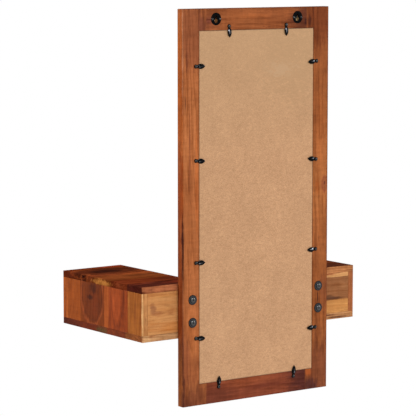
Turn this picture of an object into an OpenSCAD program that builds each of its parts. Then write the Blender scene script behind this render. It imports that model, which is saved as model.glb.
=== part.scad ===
// Wall mirror in a solid wood frame, with a drawer box on each side, in millimetres.
// X runs to the right for someone who faces the mirror, Y towards the wall and Z up.
// The origin lies on the wall, midway between the entry holes of the two hanger plates.

/* [Mirror frame] */
// Width over both stiles
frame_w = 510; // [480:1:600]
// Height over both rails
frame_h = 1100; // [950:1:1300]
// Thickness of the stiles and rails
frame_t = 25; // [23:0.5:32]
// Width of each stile
stile_w = 80; // [76:1:92]
// Height of each rail
rail_w = 80; // [76:1:100]
// Width of the rebate in each stile
stile_rebate = 24.5; // [16:0.5:26]
// Height of the rebate in each rail
rail_rebate = 20.5; // [12:0.5:22]
// Rounding of the outer edges of the frame
frame_r = 2.5; // [0.5:0.25:3.5]
// Rounding of the edge round the sight opening, in front
sight_r = 1.5; // [0.5:0.25:3]
// Length of the tenon on each end of a rail
tenon_l = 35; // [20:1:45]
// Thickness of the tenons
tenon_t = 8; // [6:0.5:10]
// Shoulder above and below each tenon
tenon_shoulder = 12; // [8:1:20]

/* [Mirror and backing] */
// Thickness of the mirror glass
glass_t = 4; // [3:0.5:5]
// Thickness of the hardboard backing
board_t = 4; // [3:0.5:5]
// Gap around the mirror glass in its rebate
glass_gap = 1; // [0.5:0.1:2]
// Gap around the backing board in its rebate
board_gap = 0.8; // [0.3:0.1:1.5]

/* [Hanger plates] */
// Distance between the entry holes of the two plates
hanger_spacing = 284; // [240:1:300]
// Centre of each plate below the top edge of the frame
plate_drop = 29; // [24:0.5:34]
// Diameter of each plate
plate_d = 35; // [33:0.5:36]
// Thickness of each plate, which lies flush in the wood
plate_t = 1.5; // [1:0.25:2]
// Diameter of the entry hole for the head of the wall screw
entry_d = 11; // [10:0.5:12]
// Centre of the entry hole below the centre of the plate
entry_drop = 5; // [4:0.5:6]
// Width of the slot for the shank of the wall screw
slot_w = 5.5; // [5:0.25:6]
// Rise from the entry hole to the round end of the slot
slot_rise = 11; // [9:0.5:12]
// Width of the pocket in the wood behind the plate
pocket_w = 14; // [13:0.5:15]
// Depth of that pocket
pocket_depth = 10; // [8:0.5:14]
// Distance between the two screws of a plate
plate_screw_pitch = 26; // [25:0.5:27]

/* [Turn buttons] */
// Reach of a turn button from its screw to its tip
button_reach = 31; // [26:0.5:31]
// Diameter of the round end about the screw
button_end_d = 11; // [10:0.5:12]
// Width of the leaf
leaf_w = 14; // [12:0.5:15]
// Start of the leaf's two arcs, measured from the screw
leaf_tail = 1; // [0:0.5:4]
// Width of the neck between the round end and the leaf
neck_w = 8; // [6:0.25:9]
// Thickness of the pressed steel
button_t = 1.2; // [1:0.1:1.5]
// Crown of the leaf along its length
leaf_crown = 2.4; // [1.6:0.1:3]
// Crown of the leaf across its width
leaf_camber = 1.6; // [1.2:0.1:2]
// Gap between a turn button and the frame
button_gap = 0.3; // [0.2:0.05:0.5]
// Screw centres outside the back opening, on the stiles
stile_button_inset = 11.5; // [9:0.5:14]
// Screw centres above the back opening, on the top rail
top_button_inset = 10; // [8:0.5:11]
// Screw centres below the back opening, on the bottom rail
bottom_button_inset = 14; // [9:0.5:16]
// Lower two buttons of the right stile, above the bottom edge
right_low_buttons = [190, 401]; // [150:1:420]
// Upper two buttons of the right stile, below the top edge
right_high_buttons = [416, 157]; // [120:1:440]
// Lower two buttons of the left stile, above the bottom edge
left_low_buttons = [180, 407]; // [150:1:420]
// Upper two buttons of the left stile, below the top edge
left_high_buttons = [434, 154]; // [120:1:440]
// Buttons on the top rail, right and left of the centre
top_buttons = [98, 101]; // [60:1:101]
// Buttons on the bottom rail, right and left of the centre
bottom_buttons = [133, 132]; // [60:1:160]
// Droop of the right stile's buttons below level in degrees, lowest first
right_button_droop = [4, 1, 4, 0]; // [-8:1:8]
// Droop of the left stile's buttons below level in degrees, lowest first
left_button_droop = [1, 2, -6, 4]; // [-8:1:8]
// Lean of the top rail's buttons in degrees, right and left, tips towards the left stile
top_button_lean = [3, 1]; // [-8:1:8]
// Lean of the bottom rail's buttons in degrees, right and left, tips towards the left stile
bottom_button_lean = [2, 4]; // [-8:1:8]

/* [Small screws] */
// Diameter of the turn button screws
button_screw_d = 3.8; // [3.5:0.1:4.5]
// Length of the turn button screws in the wood
button_screw_l = 16; // [12:1:20]
// Diameter of their pan heads
button_head_d = 8; // [7:0.25:9]
// Height of their pan heads
button_head_h = 2.2; // [1.8:0.1:2.6]
// Diameter of the hanger plate screws
plate_screw_d = 3; // [2.5:0.1:3.5]
// Length of the hanger plate screws in the wood
plate_screw_l = 14; // [10:1:18]
// Diameter of their pan heads
plate_head_d = 6.6; // [6:0.2:7]
// Height of their pan heads
plate_head_h = 1.8; // [1.4:0.1:2.2]

/* [Drawer boxes] */
// Width of each drawer box
box_w = 198; // [170:1:240]
// Height of each drawer box
box_h = 153; // [140:1:190]
// Depth of each drawer box in front of the frame
box_d = 404; // [320:1:420]
// Underside of the boxes above the bottom edge of the frame
box_up = 190.5; // [170:0.5:230]
// Thickness of the panels of the boxes
panel_t = 18; // [16:0.5:20]
// Rounding of the panel edges
panel_r = 0.8; // [0.4:0.1:1.2]
// Gap around the back panel between its neighbours
back_gap = 0.2; // [0.1:0.05:0.3]

/* [Box fixings] */
// Bolts in from the outer edge of the stile
bolt_inset = 33; // [28:0.5:38]
// Height between the two bolts of a box
bolt_pitch = 64; // [56:1:70]
// Diameter of the bolts
bolt_d = 6; // [5:0.5:6]
// Reach of the bolts into the back panel
bolt_reach = 13; // [10:0.5:14]
// Diameter of the flat domed bolt heads
bolt_head_d = 15; // [13:0.5:17]
// Height of the bolt heads
bolt_head_h = 3.2; // [2.4:0.1:4]
// Width across flats of the hexagon socket
socket_w = 4; // [3:0.5:5]
// Diameter of the washers
washer_d = 28; // [24:0.5:28]
// Thickness of the washers
washer_t = 1.6; // [1.2:0.1:2]
// Diameter of the threaded inserts in the back panels
insert_d = 10; // [9:0.5:11]
// Length of the threaded inserts
insert_l = 14.5; // [13:0.5:15]
// Diameter of the dowels
dowel_d = 8; // [6:0.5:8]
// Length of the dowels
dowel_l = 30; // [25:1:35]
// Part of each dowel that enters a panel's face
dowel_bite = 11; // [8:0.5:13]
// Dowels along each edge of a side panel
dowels_per_edge = 3; // [2:1:4]
// Outermost dowels from the ends of a side panel
dowel_end = 50; // [35:1:70]

/* [Drawers] */
// Gap all round a closed drawer front
reveal = 1.5; // [1:0.1:2]
// Thickness of the drawer front
front_t = 18; // [16:0.5:20]
// Thickness of the drawer sides and back
drawer_side_t = 12; // [10:0.5:13]
// Height of the drawer sides
drawer_side_h = 92; // [70:1:96]
// Gap between the drawer and the box on each side
drawer_gap = 2; // [1.6:0.1:3]
// Running gap under the drawer
runner_gap = 0.3; // [0.2:0.05:0.5]
// Free room behind a closed drawer
drawer_back_room = 8; // [4:0.5:20]
// Thickness of the drawer bottom
drawer_bottom_t = 4; // [3:0.5:5]
// Depth of the grooves that hold the drawer bottom
groove_depth = 5; // [4:0.5:6]
// Height of the grooves above the lower edge of the sides
groove_up = 8; // [6:0.5:12]
// Depth of the rabbets in the drawer front that take the sides
rabbet_depth = 6; // [4:0.5:9]
// Diameter of the knob
knob_d = 28; // [22:0.5:34]
// Length of the knob
knob_l = 24; // [21:0.5:30]
// Diameter of the knob's foot and of the screw head behind it
knob_foot_d = 14; // [12:0.5:18]
// Diameter of the knob screw
knob_screw_d = 4; // [3.5:0.5:5]

/* [Hidden] */
SIDES = ["right", "left"];
$fn = 48;

// Play of glued, screwed and bolted pieces in their holes
glue_gap = 0.1;
pilot_gap = 0.05;
turning_gap = 0.08;
bolt_play = 0.3;
end_play = 0.5;
// A cut runs this far past the face that it opens
past = 1;

// Heights of the frame
z_top = plate_drop + entry_drop;
z_bottom = z_top - frame_h;
function up(h) = z_bottom + h;
function down(h) = z_top - h;
function dir(side) = side == "right" ? 1 : -1;

// Sight opening in front and wider opening behind
sight_x = frame_w / 2 - stile_w;
open_x = sight_x + stile_rebate;
open_low = up(rail_w - rail_rebate);
open_high = down(rail_w - rail_rebate);
rebate_d = glass_t + board_t;
tenon_y = -(frame_t + rebate_d + tenon_t) / 2;

// Turn buttons as name, place of the screw and direction of the leaf
function stile_heights(side) = side == "right"
    ? concat([for (h = right_low_buttons) up(h)], [for (h = right_high_buttons) down(h)])
    : concat([for (h = left_low_buttons) up(h)], [for (h = left_high_buttons) down(h)]);
STILE_BUTTONS = [
    for (side = SIDES, n = [0:3])
        [
            str(side, "_button_", n + 1),
            dir(side) * (open_x + stile_button_inset),
            stile_heights(side)[n],
            side == "right" ? 180 + right_button_droop[n] : -left_button_droop[n]
        ]
];
RAIL_BUTTONS = [
    for (n = [0, 1])
        each [
            [
                str("top_button_", SIDES[n]),
                (1 - 2 * n) * top_buttons[n],
                open_high + top_button_inset,
                -90 - top_button_lean[n]
            ],
            [
                str("bottom_button_", SIDES[n]),
                (1 - 2 * n) * bottom_buttons[n],
                open_low - bottom_button_inset,
                90 + bottom_button_lean[n]
            ]
        ]
];
BUTTONS = concat(STILE_BUTTONS, RAIL_BUTTONS);

// Leaf of a turn button, which starts inside the round end
leaf_start = button_end_d / 2 - button_t;
leaf_l = button_reach - leaf_start;
function arc_r(chord, rise) = (chord * chord / 4 + rise * rise) / (2 * rise);

// Drawer box on the right, with its hollow
box_x = sight_x;
box_y = -frame_t - box_d;
box_z = up(box_up);
hollow_x = box_x + panel_t;
hollow_z = box_z + panel_t;
hollow_w = box_w - 2 * panel_t;
hollow_h = box_h - 2 * panel_t;
back_y = -frame_t - panel_t;
bolt_x = frame_w / 2 - bolt_inset;
bolt_heights = [for (s = [-1, 1]) box_z + box_h / 2 + s * bolt_pitch / 2];
insert_play = 2 * pilot_gap;

// Dowels of a box, which pair a side panel with the top, the bottom and the back
dowel_room = dowel_l - dowel_bite;
dowel_step = (box_d - 2 * dowel_end) / (dowels_per_edge - 1);
back_dowel_rise = dowel_d * 1.5;

// Drawer
drawer_x = hollow_x + drawer_gap;
drawer_z = hollow_z + runner_gap;
drawer_w = hollow_w - 2 * drawer_gap;
drawer_end = back_y - drawer_back_room;
front_back = box_y + front_t;
bottom_z = drawer_z + groove_up;
knob_z = box_z + box_h / 2;
knob_x = box_x + box_w / 2;
knob_neck_d = 2 * knob_screw_d + 2;
knob_foot_t = 2;
knob_head_l = knob_l / 2;
knob_bore_l = 10;

// Mirrors what is drawn for the right side to the side that is asked for
module on_side(side) {
    if (side == "left")
        mirror([1, 0, 0]) children();
    else
        children();
}

// Stands its children on the back of the frame, their Z towards the wall and their X turned up by turn
module on_back(x, z, turn = 0) {
    translate([x, 0, z]) rotate([0, -turn, 0]) rotate([-90, 0, 0]) children();
}

// Rectangle with rounded corners
module eased_rect(size, r) {
    difference() {
        square(size);
        for (cx = [0, 1], cy = [0, 1])
            difference() {
                translate([cx * (size.x - r) - (1 - cx) * past, cy * (size.y - r) - (1 - cy) * past])
                    square(r + past);
                translate([r + cx * (size.x - 2 * r), r + cy * (size.y - 2 * r)])
                    circle(r);
            }
    }
}

// Board with all its edges rounded
module eased_board(at, size, r) {
    translate(at)
        intersection() {
            linear_extrude(size.z)
                eased_rect([size.x, size.y], r);
            translate([0, size.y, 0])
                rotate([90, 0, 0])
                    linear_extrude(size.y)
                        eased_rect([size.x, size.z], r);
            rotate([90, 0, 90])
                linear_extrude(size.x)
                    eased_rect([size.y, size.z], r);
        }
}

// Whole outline of the frame, from which the four members are cut
module frame_slab() {
    eased_board([-frame_w / 2, -frame_t, z_bottom], [frame_w, frame_t, frame_h], frame_r);
}

// Rebate behind the sight opening, which takes the glass and the backing board
module rebate_space() {
    translate([-open_x, -rebate_d, open_low])
        cube([2 * open_x, rebate_d + past, open_high - open_low]);
}

// Rounded-over edge round the sight opening, as a cutter with two crossing profiles
module sight_rounding() {
    intersection() {
        translate([0, 0, z_bottom])
            linear_extrude(frame_h)
                sight_profile(-sight_x, sight_x);
        translate([-frame_w / 2, 0, 0])
            rotate([0, -90, 0])
                mirror([0, 0, 1])
                    linear_extrude(frame_w)
                        sight_profile(up(rail_w), down(rail_w));
    }
}

module sight_profile(low, high) {
    difference() {
        translate([low - sight_r, -frame_t - past])
            square([high - low + 2 * sight_r, sight_r + past]);
        for (edge = [low - sight_r, high + sight_r])
            translate([edge, -frame_t + sight_r])
                circle(r = sight_r);
    }
}

// Bar that runs through a rail and stands out as a tenon at both ends
module tenon_bar(low, gap = 0) {
    reach = sight_x + tenon_l + (gap > 0 ? end_play : 0);
    translate([-reach, tenon_y - gap, low + tenon_shoulder - gap])
        cube([2 * reach, tenon_t + 2 * gap, rail_w - 2 * tenon_shoulder + 2 * gap]);
}

module button_pilots() {
    for (b = BUTTONS)
        on_back(b[1], b[2])
            translate([0, 0, -button_screw_l - end_play])
                cylinder(d = button_screw_d + 2 * pilot_gap, h = button_screw_l + end_play + past);
}

module stile(side) {
    color("#9c5428")
        difference() {
            on_side(side)
                difference() {
                    intersection() {
                        frame_slab();
                        translate([sight_x, -frame_t - past, z_bottom - past])
                            cube([stile_w + past, frame_t + 2 * past, frame_h + 2 * past]);
                    }
                    rebate_space();
                    sight_rounding();
                    tenon_bar(z_bottom, glue_gap);
                    tenon_bar(down(rail_w), glue_gap);
                    for (z = bolt_heights)
                        on_back(bolt_x, z)
                            translate([0, 0, -frame_t - past])
                                cylinder(d = bolt_d + 2 * bolt_play, h = frame_t + 2 * past);
                }
            button_pilots();
        }
}

module rail(low) {
    difference() {
        union() {
            intersection() {
                frame_slab();
                translate([-sight_x, -frame_t - past, low == z_bottom ? low - past : low])
                    cube([2 * sight_x, frame_t + 2 * past, rail_w + past]);
            }
            tenon_bar(low);
        }
        rebate_space();
        sight_rounding();
        button_pilots();
    }
}

module bottom_rail() {
    color("#7d3c22")
        difference() {
            rail(z_bottom);
            translate([-sight_x - past, -frame_t - past, up(rail_w)])
                cube([2 * sight_x + 2 * past, frame_t + 2 * past, 2 * past]);
        }
}

module top_rail() {
    color("#9c5428")
        difference() {
            rail(down(rail_w));
            for (side = SIDES)
                hanger_pocket(side);
        }
}

// Round recess for the plate, pocket for the screw head and pilots for the small screws
module hanger_pocket(side) {
    on_back(dir(side) * hanger_spacing / 2, entry_drop, 90) {
        translate([0, 0, -plate_t])
            cylinder(d = plate_d + 2 * glue_gap, h = plate_t + past);
        translate([0, 0, -plate_t - pocket_depth])
            linear_extrude(pocket_depth + past)
                keyhole(pocket_w, pocket_w);
        for (s = [-1, 1])
            translate([0, s * plate_screw_pitch / 2, -plate_screw_l - end_play])
                cylinder(d = plate_screw_d + 2 * pilot_gap, h = plate_screw_l + end_play + past);
    }
}

// Outline of a keyhole whose slot points along X
module keyhole(hole_d, slot) {
    translate([-entry_drop, 0])
        circle(d = hole_d);
    translate([-entry_drop, -slot / 2])
        square([slot_rise, slot]);
    translate([slot_rise - entry_drop, 0])
        circle(d = slot);
}

module mirror_glass() {
    color("#cfd8dc")
        translate([-open_x + glass_gap, -rebate_d, open_low + glass_gap])
            cube([2 * (open_x - glass_gap), glass_t, open_high - open_low - 2 * glass_gap]);
}

module backing_board() {
    color("#c49a6c")
        translate([-open_x + board_gap, -board_t, open_low + board_gap])
            cube([2 * (open_x - board_gap), board_t, open_high - open_low - 2 * board_gap]);
}

module hanger_plate(side) {
    color("#1c1c1e")
        on_back(dir(side) * hanger_spacing / 2, entry_drop, 90)
            translate([0, 0, -plate_t])
                difference() {
                    cylinder(d = plate_d, h = plate_t);
                    translate([0, 0, -past])
                        linear_extrude(plate_t + 2 * past)
                            keyhole(entry_d, slot_w);
                    for (s = [-1, 1])
                        translate([0, s * plate_screw_pitch / 2, -past])
                            cylinder(d = plate_screw_d + 2 * pilot_gap, h = plate_t + 2 * past);
                }
}

// Screw with a domed pan head, a cross recess and a pointed end, its head standing on Z = seat
module pan_screw(d, l, head_d, head_h, seat) {
    dome = head_h * 0.6;
    dome_r = arc_r(head_d, dome);
    point = d;
    difference() {
        union() {
            translate([0, 0, point - l])
                cylinder(d = d, h = l - point + seat + head_h / 2);
            translate([0, 0, -l])
                cylinder(d1 = d / 4, d2 = d, h = point);
            translate([0, 0, seat])
                intersection() {
                    cylinder(d = head_d, h = head_h);
                    translate([0, 0, head_h - dome_r])
                        sphere(r = dome_r);
                }
        }
        for (turn = [0, 90])
            rotate([0, 0, turn])
                translate([-head_d * 0.3, -head_d * 0.06, seat + head_h * 0.5])
                    cube([head_d * 0.6, head_d * 0.12, head_h]);
    }
}

module hanger_screws() {
    color("#1c1c1e")
        for (side = SIDES, s = [-1, 1])
            on_back(dir(side) * hanger_spacing / 2, entry_drop, 90)
                translate([0, s * plate_screw_pitch / 2, 0])
                    pan_screw(plate_screw_d, plate_screw_l, plate_head_d, plate_head_h, 0);
}

module button_screws() {
    color("#1c1c1e")
        for (b = BUTTONS)
            on_back(b[1], b[2])
                pan_screw(
                    button_screw_d, button_screw_l, button_head_d, button_head_h,
                    2 * button_gap + button_t
                );
}

// Pressed leaf on a neck, crowned both ways, with a flat round end that turns on the screw
module turn_button(b) {
    color("#1c1c1e")
        on_back(b[1], b[2], b[3])
            difference() {
                union() {
                    translate([0, 0, button_gap])
                        cylinder(d = button_end_d, h = button_t);
                    intersection() {
                        translate([0, 0, button_gap])
                            linear_extrude(button_t + leaf_crown + past)
                                leaf_outline();
                        leaf_shell();
                    }
                }
                translate([0, 0, -past])
                    cylinder(d = button_screw_d + 2 * turning_gap, h = button_t + leaf_crown + 2 * past);
            }
}

// Pointed leaf between two arcs, with its neck
module leaf_outline() {
    arc_l = button_reach - leaf_tail;
    side_r = arc_r(arc_l, leaf_w / 2);
    middle = leaf_tail + arc_l / 2;
    intersection() {
        translate([middle, leaf_w / 2 - side_r])
            circle(r = side_r, $fn = 96);
        translate([middle, side_r - leaf_w / 2])
            circle(r = side_r, $fn = 96);
    }
    translate([leaf_start, -neck_w / 2])
        square([leaf_l / 4, neck_w]);
}

// Ring-shaped shell that gives the leaf its crown along and across
module leaf_shell() {
    long_r = arc_r(leaf_l, leaf_crown);
    cross_r = min(arc_r(leaf_w, leaf_camber), 0.49 * long_r);
    translate([leaf_start + leaf_l / 2, 0, button_gap + button_t + leaf_crown - long_r])
        rotate([90, 0, 0])
            difference() {
                rotate_extrude($fn = 96)
                    translate([long_r - cross_r, 0])
                        circle(r = cross_r);
                rotate_extrude($fn = 96)
                    translate([long_r - cross_r, 0])
                        circle(r = cross_r - button_t);
            }
}

// Dowels that stand upright between a side panel and the top or the bottom
module upright_dowels(d, play = 0) {
    for (x = [box_x + panel_t / 2, box_x + box_w - panel_t / 2], n = [0:dowels_per_edge - 1])
        translate([x, box_y + dowel_end + n * dowel_step, 0]) {
            translate([0, 0, hollow_z - dowel_bite - play])
                cylinder(d = d, h = dowel_l + 2 * play);
            translate([0, 0, hollow_z + hollow_h - dowel_room - play])
                cylinder(d = d, h = dowel_l + 2 * play);
        }
}

// Dowels that lie level between a side panel and the back
module level_dowels(d, play = 0) {
    for (s = [-1, 1])
        translate([0, back_y + panel_t / 2, box_z + box_h / 2 + s * back_dowel_rise]) {
            translate([hollow_x - dowel_bite - play, 0, 0])
                rotate([0, 90, 0])
                    cylinder(d = d, h = dowel_l + 2 * play);
            translate([hollow_x + hollow_w - dowel_room - play, 0, 0])
                rotate([0, 90, 0])
                    cylinder(d = d, h = dowel_l + 2 * play);
        }
}

module dowel_holes() {
    upright_dowels(dowel_d + 2 * pilot_gap, end_play);
    level_dowels(dowel_d + 2 * pilot_gap, end_play);
}

module box_dowels(side) {
    color("#caa472")
        on_side(side) {
            upright_dowels(dowel_d);
            level_dowels(dowel_d);
        }
}

// One panel of a box, drilled for the dowels that enter it
module box_panel(side, at, size) {
    on_side(side)
        difference() {
            eased_board(at, size, panel_r);
            dowel_holes();
        }
}

module box_top(side) {
    color("#6e2f1c")
        box_panel(side, [box_x, box_y, box_z + box_h - panel_t], [box_w, box_d, panel_t]);
}

module box_bottom(side) {
    color("#7a3a22")
        box_panel(side, [box_x, box_y, box_z], [box_w, box_d, panel_t]);
}

module box_outer_side(side) {
    color("#a5582b")
        box_panel(side, [box_x + box_w - panel_t, box_y, hollow_z], [panel_t, box_d, hollow_h]);
}

module box_inner_side(side) {
    color("#a5582b")
        box_panel(side, [box_x, box_y, hollow_z], [panel_t, box_d, hollow_h]);
}

// Back panel, drilled for the threaded inserts that take the bolts
module box_back(side) {
    color("#c08850")
        difference() {
            box_panel(
                side,
                [hollow_x + back_gap, back_y, hollow_z + back_gap],
                [hollow_w - 2 * back_gap, panel_t, hollow_h - 2 * back_gap]
            );
            for (z = bolt_heights)
                on_back(dir(side) * bolt_x, z)
                    translate([0, 0, -frame_t - insert_l - insert_play])
                        cylinder(d = insert_d + insert_play, h = insert_l + insert_play + past);
        }
}

module box_inserts() {
    color("#b8b8b0")
        for (side = SIDES, z = bolt_heights)
            on_back(dir(side) * bolt_x, z)
                translate([0, 0, -frame_t - insert_l])
                    difference() {
                        cylinder(d = insert_d, h = insert_l);
                        translate([0, 0, -past])
                            cylinder(d = bolt_d + 2 * pilot_gap, h = insert_l + 2 * past);
                    }
}

module box_washers() {
    color("#1c1c1e")
        for (side = SIDES, z = bolt_heights)
            on_back(dir(side) * bolt_x, z)
                difference() {
                    union() {
                        cylinder(d = washer_d, h = washer_t / 2);
                        translate([0, 0, washer_t / 2])
                            cylinder(d1 = washer_d, d2 = washer_d - washer_t, h = washer_t / 2);
                    }
                    translate([0, 0, -past])
                        cylinder(d = bolt_d + 2 * bolt_play, h = washer_t + 2 * past);
                }
}

// Furniture bolts with a wide flat dome and a hexagon socket
module box_bolts() {
    rim = bolt_head_h * 0.4;
    dome_r = arc_r(bolt_head_d, bolt_head_h - rim);
    color("#26262a")
        for (side = SIDES, z = bolt_heights)
            on_back(dir(side) * bolt_x, z)
                difference() {
                    union() {
                        translate([0, 0, -frame_t - bolt_reach])
                            cylinder(d = bolt_d, h = frame_t + bolt_reach + washer_t + rim);
                        translate([0, 0, washer_t])
                            intersection() {
                                cylinder(d = bolt_head_d, h = bolt_head_h);
                                translate([0, 0, bolt_head_h - dome_r])
                                    sphere(r = dome_r);
                            }
                    }
                    translate([0, 0, washer_t + bolt_head_h * 0.35])
                        cylinder(d = socket_w / cos(30), h = bolt_head_h, $fn = 6);
                }
}

// Inset front, rabbeted for the sides and grooved for the bottom
module drawer_front(side) {
    rabbet_w = drawer_gap - reveal + drawer_side_t + glue_gap;
    color("#a5582b")
        on_side(side)
            difference() {
                eased_board(
                    [hollow_x + reveal, box_y, hollow_z + reveal],
                    [hollow_w - 2 * reveal, front_t, hollow_h - 2 * reveal],
                    panel_r
                );
                for (x = [hollow_x + reveal - past, hollow_x + hollow_w - reveal - rabbet_w])
                    translate([x, front_back - rabbet_depth - glue_gap, hollow_z])
                        cube([
                            rabbet_w + past,
                            rabbet_depth + glue_gap + past,
                            runner_gap + drawer_side_h + glue_gap
                        ]);
                translate([
                    hollow_x + reveal + rabbet_w / 2,
                    front_back - groove_depth - glue_gap,
                    bottom_z - glue_gap
                ])
                    cube([
                        hollow_w - 2 * reveal - rabbet_w,
                        groove_depth + glue_gap + past,
                        drawer_bottom_t + 2 * glue_gap
                    ]);
                knob_axis()
                    translate([0, 0, -front_t - past])
                        cylinder(d = knob_screw_d + 2 * pilot_gap, h = front_t + 2 * past);
            }
}

// Side of a drawer, grooved along its inner face for the bottom
module drawer_side(side, x, groove_x) {
    y = front_back - rabbet_depth;
    color("#c79a5e")
        on_side(side)
            difference() {
                translate([x, y, drawer_z])
                    cube([drawer_side_t, drawer_end - y, drawer_side_h]);
                translate([groove_x, y - past, bottom_z - glue_gap])
                    cube([
                        groove_depth + glue_gap + past,
                        drawer_end - y + 2 * past,
                        drawer_bottom_t + 2 * glue_gap
                    ]);
            }
}

module drawer_inner_side(side) {
    drawer_side(side, drawer_x, drawer_x + drawer_side_t - groove_depth - glue_gap);
}

module drawer_outer_side(side) {
    x = drawer_x + drawer_w - drawer_side_t;
    drawer_side(side, x, x - past);
}

// Back between the sides, standing on the bottom
module drawer_back(side) {
    z = bottom_z + drawer_bottom_t + glue_gap;
    color("#c79a5e")
        on_side(side)
            translate([drawer_x + drawer_side_t, drawer_end - drawer_side_t, z])
                cube([drawer_w - 2 * drawer_side_t, drawer_side_t, drawer_z + drawer_side_h - z]);
}

module drawer_bottom(side) {
    inset = drawer_side_t - groove_depth;
    y = front_back - groove_depth;
    color("#d2ac74")
        on_side(side)
            translate([drawer_x + inset, y, bottom_z])
                cube([drawer_w - 2 * inset, drawer_end - y, drawer_bottom_t]);
}

// Centre of a drawer front, with Z out of the front
module knob_axis() {
    translate([knob_x, box_y, knob_z]) rotate([90, 0, 0]) children();
}

// Turned knob with a foot, a hollowed neck and a domed head
module drawer_knob(side) {
    color("#202022")
        on_side(side)
            knob_axis()
                difference() {
                    rotate_extrude()
                        knob_profile();
                    translate([0, 0, -past])
                        cylinder(d = knob_screw_d + 2 * pilot_gap, h = knob_bore_l + past);
                }
}

module knob_profile() {
    neck_l = knob_l - knob_head_l;
    cove_r = neck_l / 2;
    dome_r = arc_r(knob_d, knob_head_l * 0.55);
    under_r = arc_r(knob_d, knob_head_l * 0.45);
    square([knob_foot_d / 2, knob_foot_t]);
    difference() {
        square([knob_neck_d / 2 + cove_r / 2, neck_l + past]);
        translate([knob_neck_d / 2 + cove_r, knob_foot_t + cove_r])
            circle(r = cove_r);
        translate([knob_neck_d / 2, knob_foot_t + cove_r])
            square([cove_r, neck_l]);
    }
    intersection() {
        translate([0, knob_l - dome_r])
            circle(r = dome_r, $fn = 96);
        translate([0, neck_l + under_r])
            circle(r = under_r, $fn = 96);
        translate([0, neck_l])
            square([knob_d / 2, knob_head_l]);
    }
}

// Machine screw from inside the drawer into the knob
module drawer_knob_screw(side) {
    head_h = knob_screw_d * 0.6;
    tip = knob_bore_l - end_play;
    color("#b8b8b0")
        on_side(side)
            knob_axis()
                difference() {
                    union() {
                        translate([0, 0, -front_t])
                            cylinder(d = knob_screw_d, h = front_t + tip);
                        translate([0, 0, -front_t - head_h])
                            cylinder(d = 2 * knob_screw_d, h = head_h);
                    }
                    for (turn = [0, 90])
                        rotate([0, 0, turn])
                            translate([-knob_screw_d * 0.6, -knob_screw_d * 0.1, -front_t - head_h - past])
                                cube([knob_screw_d * 1.2, knob_screw_d * 0.2, head_h / 2 + past]);
                }
}

for (side = SIDES) {
    stile(side);
    hanger_plate(side);
    box_top(side);
    box_bottom(side);
    box_outer_side(side);
    box_inner_side(side);
    box_back(side);
    box_dowels(side);
    drawer_front(side);
    drawer_outer_side(side);
    drawer_inner_side(side);
    drawer_back(side);
    drawer_bottom(side);
    drawer_knob(side);
    drawer_knob_screw(side);
}
for (b = BUTTONS)
    turn_button(b);
top_rail();
bottom_rail();
mirror_glass();
backing_board();
hanger_screws();
button_screws();
box_bolts();
box_washers();
box_inserts();
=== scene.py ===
import math
import bpy
from mathutils import Matrix, Vector


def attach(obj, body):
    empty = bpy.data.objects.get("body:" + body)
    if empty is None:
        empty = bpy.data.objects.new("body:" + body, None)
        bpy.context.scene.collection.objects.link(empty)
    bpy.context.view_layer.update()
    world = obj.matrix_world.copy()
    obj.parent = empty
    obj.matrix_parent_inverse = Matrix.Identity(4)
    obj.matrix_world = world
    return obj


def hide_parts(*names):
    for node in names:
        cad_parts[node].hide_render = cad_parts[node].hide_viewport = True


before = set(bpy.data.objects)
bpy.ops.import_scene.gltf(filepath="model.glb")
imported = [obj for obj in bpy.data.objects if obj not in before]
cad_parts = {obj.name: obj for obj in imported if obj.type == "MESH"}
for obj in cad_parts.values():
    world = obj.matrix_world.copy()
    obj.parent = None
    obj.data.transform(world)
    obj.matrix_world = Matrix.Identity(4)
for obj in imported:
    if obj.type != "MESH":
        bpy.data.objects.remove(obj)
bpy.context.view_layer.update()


# Stiles of the mirror frame
# Two upright boards, 1100 mm long, of a reddish-brown hardwood, stained and lacquered to a satin sheen.
# The outer edges are rounded over, and a rebate behind takes the glass and the backing board.

def stain(red, green, blue):
    """A colour as a finisher reads it off a chart, 0 to 255, as the shader's own numbers."""
    parts = [c / 255 for c in (red, green, blue)]
    return tuple(c / 12.92 if c < 0.04045 else ((c + 0.055) / 1.055) ** 2.4 for c in parts) + (1.0,)


def shade_of(depth, warm=0.0):
    """A factor for darkening or lightening wood; a warm one takes more out of the blue."""
    return (depth, depth * (1 - 0.5 * warm), depth * (1 - warm), 1.0)


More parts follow.
